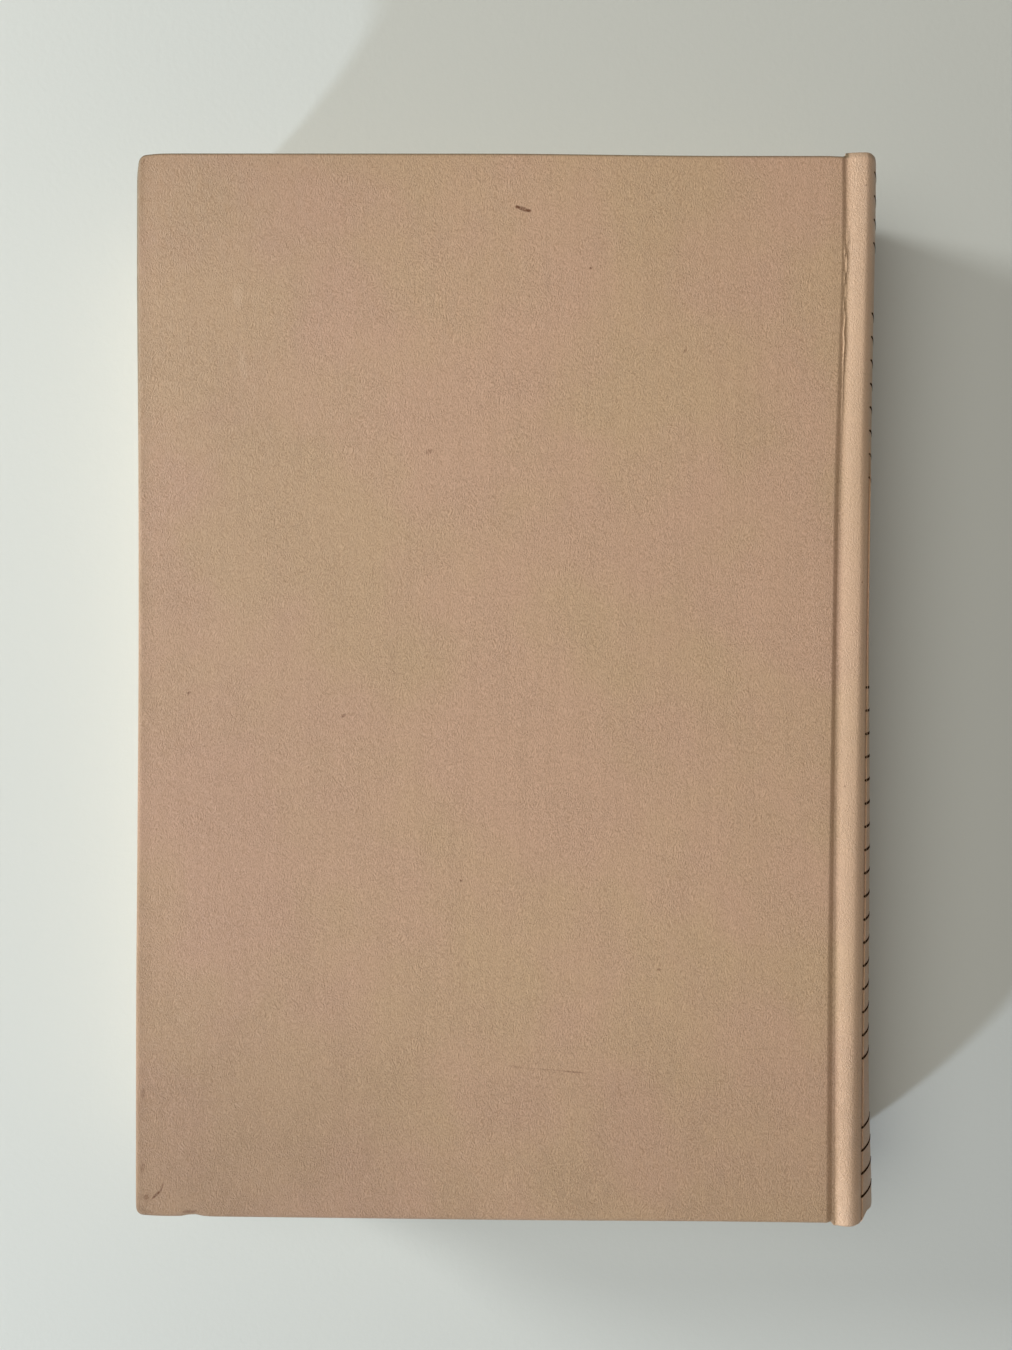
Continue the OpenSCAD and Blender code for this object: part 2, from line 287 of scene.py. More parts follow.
def turn_back_cover(p):
    """From the straight board to where the slipped back cover lies."""
    c, s = math.cos(BACK_SKEW), math.sin(BACK_SKEW)
    q = p.copy()
    q[..., 0] = HINGE_X + (p[..., 0] - HINGE_X) * c + p[..., 1] * s
    q[..., 1] = p[..., 1] * c - (p[..., 0] - HINGE_X) * s
    return q


def flat_lines(side, cols, heights):
    """Where every station past the corner zone lies, in x and z, at each height."""
    base = np.zeros((len(cols), len(heights), 2))
    for c, (zone, s) in enumerate(cols):
        if zone != "corner":
            base[c, :, 0], base[c, :, 1] = section(side, zone, s, heights)
    return base


def unit(vectors):
    return vectors / np.maximum(np.linalg.norm(vectors, axis=-1, keepdims=True), 1e-9)


def inward_lean(base, first_rise):
    """Unit vectors into the sheet, steadied from the rise on so that the turned ends don't cross."""
    tangent = np.gradient(base, axis=0)
    inward = unit(np.stack([tangent[..., 1], -tangent[..., 0]], -1))
    inward[first_rise:] = np.stack([
        inward[max(c - 5, first_rise - 1): c + 6].mean(axis=0) for c in range(first_rise, len(base))])
    return unit(inward)


def end_depths(side, zone, s, x, z, y0):
    """Depth of the rolled edge at a station's end, and the depth at which its turn-in lies."""
    if zone in ("face", "roll", "floor"):
        past = x - COVERING_T - (math.sin(BACK_SKEW) * y0 if side == "back" else 0.0)
        thin = float(smooth(past - 0.2))
        depth = (z - LOW_Z) * (1 - thin) + 0.7 * thin
        return depth, depth
    return 0.6 + 0.6 * s if zone == "rise" else 1.2, 1.2 if zone == "arc" else 0.6


def run_across(cols, base, points, sheet):
    """Fill in the sheet's own coordinate across the book, from the board to the spine."""
    for c, (zone, _) in enumerate(cols):
        if zone == "face":
            sheet[c, :, 0] = points[c, :, 0]
        elif zone != "corner":
            step = base[c] - base[c - 1]
            if cols[c - 1][0] == "face":
                step = step * 0 + np.array([0.1, 0.0])
            sheet[c, :, 0] = sheet[c - 1, :, 0] + np.linalg.norm(step, axis=-1)


def case_grid(side):
    """Outer points of half the case, with the sheet's own coordinates."""
    cols, lines = stations(), rows()
    half = COVER_H / 2
    base = flat_lines(side, cols, np.array([line[2] for line in lines]))
    first_roll, first_rise = first_of(cols, "roll"), first_of(cols, "rise")
    inward = inward_lean(base, first_rise)
    points = np.zeros((len(cols), len(lines), 3))
    sheet = np.zeros_like(points)
    for c, (zone, s) in enumerate(cols):
        turn = float(smooth((c - first_rise + 2) / 4.0)) if c >= first_rise - 2 else 0.0
        high = half + 0.8 * SPINE_OVER * float(smooth((c - first_roll - 9) / 7.0))
        for r, (end, tau, y0) in enumerate(lines):
            if zone == "corner":
                across, run, down = corner_point(s, tau)
                points[c, r] = (across - COVER_W, end * (half - run), FACE_Z - down)
                sheet[c, r, 0] = run_length(s) + EDGE_R - COVER_W
                sheet[c, r, 1] = end * (half - EDGE_R - run_length(tau))
                continue
            x, z = base[c, r]
            depth, in_depth = end_depths(side, zone, s, x, z, y0)
            radius = min(EDGE_R, depth / 2)
            inset, down = wrap(tau, depth, radius, in_depth)
            if tau >= 0:
                y = y0 * (high - radius) / (half - EDGE_R)
            else:
                y = end * (high - inset)
            lean = (1 - turn) * np.array([0.0, -1.0]) + turn * inward[c, r]
            points[c, r] = (x + lean[0] * down, y, z + lean[1] * down)
            sheet[c, r, 1] = end * (high - radius - run_length(tau)) if tau < 0 else y
    run_across(cols, base, points, sheet)
    if side == "back":
        points[:first_roll] = turn_back_cover(points[:first_roll])
    return cols, points, sheet


def to_row(points, side="back"):
    p = np.array(points, float)
    if side == "front":
        p = p * np.array([1.0, 1.0, -1.0])
    return p + ORIGIN


def add_mesh(name, points, faces, flat=(), attributes=None):
    """A mesh in the row frame from points in millimetres. Faces listed as flat aren't smoothed."""
    mesh = bpy.data.meshes.new(name)
    mesh.from_pydata((np.asarray(points, float) * MM).tolist(), [], faces)
    shade = np.ones(len(faces), bool)
    shade[list(flat)] = False
    mesh.polygons.foreach_set("use_smooth", shade)
    for key, values in (attributes or {}).items():
        values = np.asarray(values, np.float32)
        kind = "FLOAT_VECTOR" if values.ndim == 2 else "FLOAT"
        field = "vector" if values.ndim == 2 else "value"
        mesh.attributes.new(key, kind, "POINT").data.foreach_set(field, values.ravel())
    mesh.update()
    mesh.validate()
    obj = bpy.data.objects.new(name, mesh)
    bpy.context.scene.collection.objects.link(obj)
    return obj


def grid_normals(p):
    """Unit normals of a grid of points, from the faces round each point."""
    n = np.zeros_like(p)
    a, b, c, d = p[:-1, :-1], p[1:, :-1], p[1:, 1:], p[:-1, 1:]
    face = np.cross(c - a, d - b)
    for sl in ((slice(0, -1), slice(0, -1)), (slice(1, None), slice(0, -1)),
               (slice(1, None), slice(1, None)), (slice(0, -1), slice(1, None))):
        n[sl] += face
    return n / np.maximum(np.linalg.norm(n, axis=-1, keepdims=True), 1e-12)


def shell(points, thickness, mirrored=False):
    """A closed sheet from a grid of outer points: vertices, faces and the rim's faces."""
    nu, nv = points.shape[:2]
    normals = grid_normals(points) * (-1 if mirrored else 1)
    inner = points - normals * thickness
    verts = np.concatenate([points.reshape(-1, 3), inner.reshape(-1, 3)])
    n = nu * nv
    faces = []

    def quad(a, b, c, d):
        faces.append((a, d, c, b) if mirrored else (a, b, c, d))

    for i in range(nu - 1):
        for j in range(nv - 1):
            a, b, c, d = i * nv + j, (i + 1) * nv + j, (i + 1) * nv + j + 1, i * nv + j + 1
            quad(a, b, c, d)
            quad(n + a, n + d, n + c, n + b)
    start = len(faces)
    for i in range(nu - 1):
        for j, turn in ((0, False), (nv - 1, True)):
            a, b = i * nv + j, (i + 1) * nv + j
            quad(a, n + a, n + b, b) if not turn else quad(a, b, n + b, n + a)
    for j in range(nv - 1):
        for i, turn in ((0, True), (nu - 1, False)):
            a, b = i * nv + j, i * nv + j + 1
            quad(a, n + a, n + b, b) if not turn else quad(a, b, n + b, n + a)
    return verts, faces, range(start, len(faces))


def bow_edges(points):
    """The board's edges swell slightly outwards, and its head corner at the fore-edge is soft."""
    p = points.copy()
    x, y = p[..., 0].copy(), p[..., 1].copy()
    fore = smooth((-126 - x) / 9)
    p[..., 0] -= fore * eased(y, HEIGHTS, FORE_BOW)
    board = smooth((-20 - x) / 50)
    p[..., 1] += smooth((y - 92) / 10) * (0.1 + 0.42 * board) * (x < 1)
    p[..., 1] -= smooth((-92 - y) / 10) * (0.15 + 0.22 * board) * (x < 1)
    soft = np.exp(-((x + COVER_W) / 3.4) ** 2)
    p[..., 1] -= 0.5 * soft * smooth((y - 98) / 6)
    p[..., 0] += 0.3 * np.exp(-((y - COVER_H / 2) / 2.2) ** 2) * fore
    return p


def add_fold(p, cols):
    """The wavy fold in the groove near the head."""
    for c, (zone, _) in enumerate(cols):
        if zone in ("roll", "floor", "rise"):
            up = p[c, :, 1]
            middle = np.interp(up, FOLD_HEIGHTS, FOLD_PLACES)
            strength = smooth((up - 50) / 14) * (1 - smooth((up - 86) / 8))
            wave = 0.2 * smooth((up - 60) / 20) * np.sin(up * 1.21 + 0.6) + 0.05 * np.sin(up * 2.3)
            high = (0.26 + 0.1 * np.sin(up * 0.37 + 1.0)) * strength
            p[c, :, 2] += high * np.exp(-((p[c, :, 0] - middle - wave) / FOLD_W) ** 2)


def shape_wear(points, cols):
    """Small bends of the back cover: the fold, the soft tail corner, dents and a slight warp."""
    p = bow_edges(points)
    add_fold(p, cols)
    x, y, z = p[..., 0], p[..., 1], p[..., 2]
    corner = np.hypot(x + COVER_W, y + COVER_H / 2)
    z -= 0.35 * np.exp(-(corner / 2.6) ** 2)
    spine_tail = np.exp(-((x - 8.3) / 1.3) ** 2) * smooth((-103.5 - y) / 2.2) * (z > 4)
    y += 0.9 * spine_tail
    dent = np.exp(-((x + 127.2) / 1.7) ** 2) * smooth((-102.5 - y) / 2.5)
    y += 0.35 * dent
    z -= 0.2 * dent * (z > 0)
    face = smooth((x + COVER_W - 4) / 15) * smooth((-8 - x) / 15) * (z > FACE_Z - 0.05)
    warp = np.sin(x * 0.11 + 0.6) * np.sin(y * 0.07 + 1.1) + np.sin(x * 0.05 - y * 0.035)
    z += 0.05 * face * warp
    return p


def case_half(side):
    """Half the case: points, the sheet's coordinates, the ridge's mask and the crease's column."""
    cols, points, sheet = case_grid(side)
    if side == "back":
        points = shape_wear(points, cols)
    # The ridge's mask paints the joint's ridge lighter, a painted highlight, and makes it shinier. The
    # round of the spine gets 0.6 of it, and it grows towards the head and the tail.
    ridge = np.zeros(points.shape[:2])
    for c, (zone, s) in enumerate(cols):
        if zone == "rise":
            ridge[c] = smooth(s * 3)
        elif zone == "ridge":
            ridge[c] = 1 - 0.4 * smooth((s - 0.5) * 2)
        elif zone == "arc":
            ridge[c] = 0.6
    up = points[..., 1]
    ridge = ridge * (1 + 0.5 * smooth((up - 45) / 45) + 0.8 * smooth((-94 - up) / 9))
    return points, sheet, ridge, first_of(cols, "arc")


def leather_mesh(name, points, sheet, ridge, mirrored):
    verts, faces, rim = shell(points, LEATHER_T, mirrored)
    twice = lambda v: np.concatenate([v, v])
    obj = add_mesh(name, verts, faces, rim, {
        "sheet": twice(sheet.reshape(-1, 3)), "ridge": twice(ridge.ravel()),
    })
    return obj


def make_case(side):
    """The covering of one board with its joint, as far as the crease beside the spine."""
    points, sheet, ridge, crease = case_half(side)
    part = slice(0, crease)
    outer = to_row(points[part], side)
    obj = leather_mesh("case_" + side, outer, sheet[part], ridge[part], side == "front")
    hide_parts(side + "_covering", "spine_covering")
    blend_over_joint(obj, side)
    return obj


def make_spine():
    """The covering of the spine, from the back crease round to the front one."""
    back, front = case_half("back"), case_half("front")
    half = slice(back[3] - 1, None)
    other = front[0][half][::-1][1:] * np.array([1.0, 1.0, -1.0])
    points = np.concatenate([back[0][half], other])
    sheet = np.concatenate([back[1][half], front[1][half][::-1][1:]])
    apex_run = back[1][-1, :, 0]
    count = len(other)
    sheet[-count:, :, 0] = apex_run + (front[1][-1, :, 0] - sheet[-count:, :, 0])
    ridge = np.concatenate([back[2][half], front[2][half][::-1][1:]])
    obj = leather_mesh("case_spine", to_row(points), sheet, ridge, False)
    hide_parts("spine_covering")
    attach(obj, "text_block")
    return obj


def blend_over_joint(obj, side):
    """Bakes the sheet's place into its mesh; it is not bent here."""
    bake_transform(obj)


# Strokes along the spine: BARE_RUNS are the places where they have worn off.
STROKE_PITCH, STROKE_SHIFT, STROKE_COUNT = 4.62, 0.9, 45
BARE_RUNS = ((4, 5), (14, 21), (39, 40))
STROKE_W, STROKE_DROP, STROKE_FOOT, STROKE_STEPS = 0.52, 7.0, 0.35, 18
FOIL_LIFT = 0.05


def spine_point(side, fall, y):
    """A point of the spine's face below the crease, or of the ridge for a fall under 0."""
    crease, crest, start = (float(along(side, k, y)) for k in ("crease", "crest", "start"))
    if fall >= 0:
        z = start - fall
        return np.array([crease + (float(apex(y)) - crease) * float(arc_share(z, start)), y, z])
    s = 1 + fall / (crease - crest)
    return np.array([crease + fall, y, float(ridge_z(side, s, y))])


def stroke_rail(side, y0, half_w, lift):
    """One edge of a stroke: a short foot on the ridge, then straight down the curve."""
    out = []
    for i in range(STROKE_STEPS + 1):
        t = i / STROKE_STEPS
        fall = -STROKE_FOOT + t * (STROKE_DROP + STROKE_FOOT)
        w = half_w * (1 if t < 0.75 else 1 - 0.6 * (t - 0.75) / 0.25) * (0.5 if i == 0 else 1)
        p, q = spine_point(side, fall, y0 + w), spine_point(side, fall + 0.05, y0 + w)
        run = q - p
        n = np.array([-run[2], 0.0, run[0]])
        n /= max(np.linalg.norm(n), 1e-9)
        out.append(p + n * lift)
    return out


def make_strokes(side):
    verts, faces = [], []
    w, up = STROKE_W / 2, FOIL_LIFT
    for k in range(STROKE_COUNT):
        if any(a <= k <= b for a, b in BARE_RUNS):
            continue
        y0 = STROKE_SHIFT + ((STROKE_COUNT - 1) / 2 - k) * STROKE_PITCH
        rails = [stroke_rail(side, y0, *edge) for edge in ((-w, up), (w, up), (w, -up), (-w, -up))]
        n = len(rails[0])
        starts = [len(verts) + a * n for a in range(4)]
        verts += [point for rail in rails for point in rail]
        for i in range(n - 1):
            faces += [(a + i, a + i + 1, b + i + 1, b + i) for a, b in zip(starts, starts[1:] + starts[:1])]
        faces += [tuple(starts), tuple(a + n - 1 for a in starts[::-1])]
    if side == "front":
        faces = [face[::-1] for face in faces]
    obj = add_mesh(side + "_strokes", to_row(verts, side), faces, range(len(faces)))
    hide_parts(side + "_edge_strokes")
    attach(obj, "text_block")
    return obj


def make_inlay():
    """The card strip, which follows the covering of the spine."""
    heights = np.linspace(-COVER_H / 2 + 1.2, COVER_H / 2 + 0.2, 60)
    levels = [12.2 * math.cos(a) for a in np.linspace(0, math.pi, 41)]
    points = np.zeros((len(levels), len(heights), 3))
    for i, z in enumerate(levels):
        side = "back" if z >= 0 else "front"
        crease, start = along(side, "crease", heights), along(side, "start", heights)
        share = arc_share(abs(z) + 0.1, start)
        points[i, :, 0] = crease + (apex(heights) - crease) * share - 0.33
        points[i, :, 1], points[i, :, 2] = heights, z
    verts, faces, rim = shell(to_row(points), INLAY_T)
    obj = add_mesh("spine_card", verts, faces, rim)
    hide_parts("spine_inlay")
    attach(obj, "text_block")
    return obj


def make_gauze():
    """The cloth over the spine of the block, which runs under the covering into both joints."""
    half = BLOCK_H / 2 - GAUZE_SHORT
    heights = np.linspace(-half, half, 50)
    joint = []
    for x in np.linspace(1.2, 4.0, 10):
        lift = (1 - math.cos(math.pi * max(x - 1.3, 0.0) / 2.7)) / 2
        joint.append((x, FLOOR_Z - 0.4 + (CREST_Z - FLOOR_Z) * lift))
    arc_r, top = PAGES_R + GLUE_T, CREST_Z - 0.36 - 0.5
    arc = [(CENTRE_X + math.sqrt(arc_r ** 2 - z * z) + GAUZE_T, z) for z in top * np.linspace(1, -1, 40)]
    line = joint + arc + [(x, -z) for x, z in joint[::-1]]
    points = np.zeros((len(line), len(heights), 3))
    for i, (x, z) in enumerate(line):
        points[i, :, 0], points[i, :, 1], points[i, :, 2] = x, heights, z
    verts, faces, rim = shell(to_row(points), CLOTH_T)
    obj = add_mesh("gauze_cloth", verts, faces, rim)
    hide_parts("spine_gauze")
    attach(obj, "text_block")
    return obj


def make_pastedown(side):
    """The glued half of an endpaper, over the turn-ins, with the strip that runs into the joint."""
    xs = list(np.linspace(FORE_X, -28, 62)) + list(np.linspace(-27, -1.5, 22))
    xs += list(np.linspace(-1.2, FOLD_X - 0.12, 15)) + [FOLD_X - 0.04, FOLD_X]
    half = BLOCK_H / 2
    ys = np.linspace(-half, half, 96)
    points = np.zeros((len(xs), len(ys), 3))
    # between the turn-ins and the gauze flap the paper lies lower, on the bare board
    low, high, edge, slope = TURN_IN - COVER_W + 0.2, -25.2, COVER_H / 2 - TURN_IN - 0.2, 0.9
    for i, x in enumerate(xs):
        tray = smooth((x - low) / slope) * smooth((high - x) / slope)
        tray = tray * smooth((edge - np.abs(ys)) / slope)
        points[i, :, 0], points[i, :, 1] = x, ys
        points[i, :, 2] = CLOSED_Z + 0.27 * tray + 0.02 * np.sin(x * 0.21 + ys * 0.05)
    points[-2, :, 2] -= 0.03
    points[-1, :, 2] -= 0.1
    if side == "back":
        share = smooth((1.2 - points[..., :1]) / 4.0)
        points = points + share * (turn_back_cover(points) - points)
    mirrored = side == "back"
    verts, faces, rim = shell(to_row(points, side), PAPER_T, mirrored)
    sheet = np.concatenate([points.reshape(-1, 3)] * 2)
    obj = add_mesh(side + "_endpaper", verts, faces, rim, {"sheet": sheet})
    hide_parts(side + "_pastedown")
    z = (PASTE_Z if side == "back" else -PASTE_Z) + ORIGIN[2]
    start, end = (Vector((ORIGIN[0] + x, ORIGIN[1], z)) * MM for x in (FOLD_X, -0.1))
    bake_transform(obj)
    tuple(start)
    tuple(end)
    return obj


def make_flyleaf(side):
    """The free half of an endpaper, from the fore-edge to its fold."""
    xs = list(np.linspace(FORE_X, FOLD_X - 0.3, 60)) + [FOLD_X - 0.1, FOLD_X]
    ys = np.linspace(-BLOCK_H / 2, BLOCK_H / 2, 80)
    points = np.zeros((len(xs), len(ys), 3))
    for i, x in enumerate(xs):
        points[i, :, 0], points[i, :, 1] = x, ys
        lift = 0.02 * np.sin(x * 0.13 + 1) * np.sin(ys * 0.06)
        points[i, :, 2] = LEAF_Z - 0.02 + lift * smooth((x - FORE_X) / 10)
    points[-1, :, 2] += 0.05
    verts, faces, rim = shell(to_row(points, side), PAPER_T, side == "front")
    sheet = np.concatenate([points.reshape(-1, 3)] * 2)
    obj = add_mesh(side + "_leaf", verts, faces, rim, {"sheet": sheet})
    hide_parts(side + "_flyleaf")
    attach(obj, "text_block")
    return obj


LAYERS = 112


def leaf_offsets():
    """Small offsets of every layer, and of every section of eight, at fore-edge, head and tail."""
    rng = np.random.default_rng(11)
    single = rng.normal(0, 0.035, (3, LAYERS + 1))
    by_section = np.repeat(rng.normal(0, 0.05, (3, LAYERS // 8 + 1)), 8, axis=1)[:, : LAYERS + 1]
    offsets = np.clip(single + by_section, -0.16, 0.1)
    offsets[:, [0, -1]] = 0.0
    return offsets


def block_surface(sizes, point):
    """The six outer faces of a grid of points, each made once: points, faces and the points' keys."""
    nu, nv, nh = sizes
    index, verts, faces = {}, [], []

    def vert(key):
        if key not in index:
            index[key] = len(verts)
            verts.append(point(*key))
        return index[key]

    def patch(n1, n2, at, flip):
        for a in range(n1 - 1):
            for b in range(n2 - 1):
                face = tuple(vert(at(*k)) for k in ((a, b), (a + 1, b), (a + 1, b + 1), (a, b + 1)))
                faces.append(face[::-1] if flip else face)

    patch(nv, nh, lambda a, b: (0, a, b), True)
    patch(nv, nh, lambda a, b: (nu - 1, a, b), False)
    patch(nu, nh, lambda a, b: (a, 0, b), False)
    patch(nu, nh, lambda a, b: (a, nv - 1, b), True)
    patch(nu, nv, lambda a, b: (a, b, nh - 1), False)
    patch(nu, nv, lambda a, b: (a, b, 0), True)
    return verts, faces, index


def make_pages():
    """The block of leaves: every layer has its own small offset at the three cut edges."""
    offsets = leaf_offsets()
    h = np.linspace(-1, 1, LAYERS + 1)
    fore_r = (BLOCK_Z ** 2 + FORE_HOLLOW ** 2) / (2 * FORE_HOLLOW)
    fore = FORE_X + FORE_HOLLOW - fore_r + np.sqrt(fore_r ** 2 - (BLOCK_Z * h) ** 2)
    us = np.concatenate([
        np.linspace(0, 0.06, 5)[:-1], np.linspace(0.06, 0.94, 14), np.linspace(0.95, 1, 9)])
    vs = np.linspace(-1, 1, 60)

    def point(i, j, k):
        y = BLOCK_H / 2 * vs[j]
        end = CENTRE_X + math.sqrt(PAGES_R ** 2 - (TIP_Z * h[k]) ** 2)
        x0 = fore[k] + offsets[0, k] + 0.05 * math.sin(0.11 * y + k * 0.35)
        x = x0 + (end - x0) * us[i]
        shoulder = SHOULDER_X + (float(shoulder_line(y)) if h[k] > 0 else 0.0)
        splay = float(smooth((x - shoulder) / 2.1))
        z = h[k] * (BLOCK_Z + (TIP_Z - BLOCK_Z) * splay)
        if j in (0, len(vs) - 1):
            y -= math.copysign(max(0.0, -offsets[1 if j else 2, k]), y)
        return x, y, z

    verts, faces, index = block_surface((len(us), len(vs), len(h)), point)
    layer = np.array([k for (_, _, k) in index], float)
    obj = add_mesh("leaves", to_row(verts), faces, range(len(faces)), {"layer": layer})
    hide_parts("pages")
    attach(obj, "text_block")
    return obj


def shoulder_line(y):
    """How far the shoulder under the back ridge leans away at the head, with the ridge."""
    return np.maximum(along("back", "foot", y) - 1.6, 0.0)


# The pitch of a wave texture of scale 1
WAVE_PITCH = 0.314


class Finish:
    """A material with a Principled shader, and short calls for its nodes."""

    def __init__(self, name, **sockets):
        self.material = bpy.data.materials.new(name)
        self.material.use_nodes = True
        self.tree = self.material.node_tree
        self.tree.nodes.clear()
        out = self.tree.nodes.new("ShaderNodeOutputMaterial")
        self.shader = self.tree.nodes.new("ShaderNodeBsdfPrincipled")
        self.tree.links.new(self.shader.outputs[0], out.inputs[0])
        for key, value in sockets.items():
            self.put(self.shader.inputs[key.replace("_", " ")], value)

    def put(self, socket, value):
        if isinstance(value, bpy.types.NodeSocket):
            self.tree.links.new(value, socket)
        elif isinstance(value, (tuple, list)) and socket.type == "RGBA":
            socket.default_value = tuple(value) + (1.0,) * (4 - len(value))
        else:
            socket.default_value = value

    def node(self, kind, *values, out=0, **props):
        n = self.tree.nodes.new("ShaderNode" + kind)
        for key, value in props.items():
            setattr(n, key, value)
        for i, value in enumerate(values):
            self.put(n.inputs[i], value)
        return n.outputs[out]

    def math(self, op, a, b, clamp=False):
        return self.node("Math", a, b, operation=op, use_clamp=clamp)

    def span(self, value, low, high, a=0.0, b=1.0):
        """Value run from low to high onto a to b, held at the ends."""
        return self.node("MapRange", value, low, high, a, b, interpolation_type="SMOOTHSTEP")

    def mix(self, share, a, b, blend="MIX"):
        n = self.tree.nodes.new("ShaderNodeMix")
        n.data_type, n.blend_type = "RGBA", blend
        for i, value in ((0, share), (6, a), (7, b)):
            self.put(n.inputs[i], value)
        return n.outputs[2]

    def xy(self, vector):
        """The first two parts of a vector."""
        outputs = self.node("SeparateXYZ", vector).node.outputs
        return outputs[0], outputs[1]

    def wave(self, vector, direction, pitch_mm, distort=0.0):
        n = self.tree.nodes.new("ShaderNodeTexWave")
        n.bands_direction = direction
        self.put(n.inputs["Vector"], vector)
        n.inputs["Scale"].default_value = WAVE_PITCH / (pitch_mm * MM)
        n.inputs["Distortion"].default_value = distort
        return n.outputs[1]

    def coords(self, name):
        return self.node("Attribute", attribute_name=name, out=1)

    def value(self, name):
        return self.node("Attribute", attribute_name=name, out=2)

    def place(self):
        """Place on the object, in metres, for pieces that only ride on a body."""
        return self.node("TexCoord", out=3)

    def scaled(self, vector, scale, shift=(0.0, 0.0, 0.0)):
        n = self.tree.nodes.new("ShaderNodeMapping")
        self.put(n.inputs[0], vector)
        n.inputs[1].default_value = shift
        n.inputs[3].default_value = scale
        return n.outputs[0]

    def turned(self, vector, degrees, size, centre=(0.0, 0.0)):
        """Coordinates about a centre, turned and then measured in units of the given size."""
        n = self.tree.nodes.new("ShaderNodeMapping")
        n.vector_type = "TEXTURE"
        self.put(n.inputs[0], vector)
        n.inputs[1].default_value = (*centre, 0.0)
        n.inputs[2].default_value = (0.0, 0.0, math.radians(degrees))
        n.inputs[3].default_value = (*size, 1.0)
        return n.outputs[0]

    def noise(self, vector, scale, detail=2.0, rough=0.5, flat=False):
        n = self.tree.nodes.new("ShaderNodeTexNoise")
        n.noise_dimensions = "2D" if flat else "3D"
        for key, value in (("Vector", vector), ("Scale", scale), ("Detail", detail), ("Roughness", rough)):
            self.put(n.inputs[key], value)
        return n.outputs[0]

    def cells(self, vector, scale):
        n = self.tree.nodes.new("ShaderNodeTexVoronoi")
        n.voronoi_dimensions = "2D"
        self.put(n.inputs["Vector"], vector)
        self.put(n.inputs["Scale"], scale)
        return n.outputs[0]

    def bump(self, height, depth_mm):
        n = self.tree.nodes.new("ShaderNodeBump")
        n.inputs["Strength"].default_value = 1.0
        n.inputs["Distance"].default_value = depth_mm * MM
        self.put(n.inputs["Height"], height)
        return n.outputs[0]

    def set(self, name, value):
        self.put(self.shader.inputs[name], value)


# Marks on the back board: place across and along, half length, half width, turn in degrees, strength
MARKS = (
    (-61.8, 94.7, 1.5, 0.45, -18, 0.85), (-60.6, 94.4, 0.5, 0.3, 0, 0.9),
    (-62.9, 95.1, 0.5, 0.35, 0, 0.7), (-48.4, 83.2, 0.28, 0.28, 0, 0.8),
    (-110.2, 103.3, 0.25, 0.25, 0, 0.6), (-127.6, -1.0, 0.4, 0.3, 30, 0.75),
    (-96.8, -5.3, 0.55, 0.3, 40, 0.7), (-73.3, -37.9, 0.3, 0.3, 0, 0.75),
    (-33.9, -55.2, 0.4, 0.3, 0, 0.6), (-29.7, 67.1, 0.8, 0.3, 60, 0.35),
    (-80.1, 47.0, 0.9, 0.5, 20, 0.4), (-62.2, -74.9, 1.6, 0.25, -8, 0.3),
    (-55.0, -75.4, 6.0, 0.14, -4, 0.28), (-50.6, -75.8, 2.2, 0.16, -3, 0.5),
    (-127.2, -104.4, 1.6, 0.5, 0, 0.5), (-132.5, -99.4, 1.0, 0.24, 70, 0.6),
    (-133.65, -100.95, 1.4, 0.3, 43, 0.95), (-135.6, -101.4, 0.8, 0.6, 20, 0.55),
    (-136.3, -81.0, 1.3, 0.45, 84, 0.4), (-136.4, -95.8, 1.1, 0.5, 80, 0.45),
    (-136.9, 103.9, 0.75, 0.4, 70, 0.6), (5.6, 99.4, 0.25, 0.2, 0, 0.6),
    (2.6, -18.6, 0.25, 0.25, 0, 0.5), (5.7, 21.6, 0.2, 0.2, 0, 0.5),
)
RUBS = (
    (-118.1, 77.6, 1.2, 2.6, 0, 0.35), (-117.0, 63.7, 0.8, 3.6, 8, 0.3),
    (-117.2, 76.6, 0.35, 0.35, 0, -0.5),
)


def mark_mask(f, sheet, marks):
    """Sum of soft ellipses on the sheet."""
    total = None
    for x, y, half_l, half_w, turn, strength in marks:
        here = f.turned(sheet, turn, (half_l, half_w), (x, y))
        away = f.node("VectorMath", here, operation="LENGTH", out=1)
        spot = f.span(away, 1.25, 0.45, 0.0, strength)
        total = spot if total is None else f.math("ADD", total, spot)
    return total


def embossed_grain(f, sheet, up):
    """Fine pebbles, longer along the book than across, over slight slanting ripples."""
    away = f.scaled(sheet, (1, 1, 1), (40.0, 17.0, 0.0))
    sway = [f.math("SUBTRACT", f.noise(at, 0.35, 1.0, flat=True), 0.5) for at in (sheet, away)]
    sway = [f.math("MULTIPLY", s, 1.4) for s in sway]
    drift = f.node("VectorMath", sheet, f.node("CombineXYZ", *sway, 0.0), operation="ADD")
    fine = f.noise(f.scaled(drift, (4.0, 2.1, 1.0)), 1.0, 3.0, 0.72, flat=True)
    ripples = f.noise(f.turned(drift, -52.0, (2.2, 0.75)), 1.0, 2.0, 0.6, flat=True)
    pebble = f.cells(f.scaled(drift, (2.6, 1.9, 1.0)), 1.0)
    grain = f.math("ADD", fine, f.math("MULTIPLY", ripples, 0.2))
    grain = f.math("SUBTRACT", grain, f.math("MULTIPLY", pebble, 0.22))
    relief = f.span(f.noise(sheet, 0.07, 2.0, flat=True), 0.3, 0.7, 0.75, 1.15)
    grain = f.math("MULTIPLY", f.math("SUBTRACT", grain, 0.5), relief)
    return f.math("MULTIPLY", grain, f.span(up, -55.0, -95.0, 1.0, 1.35))


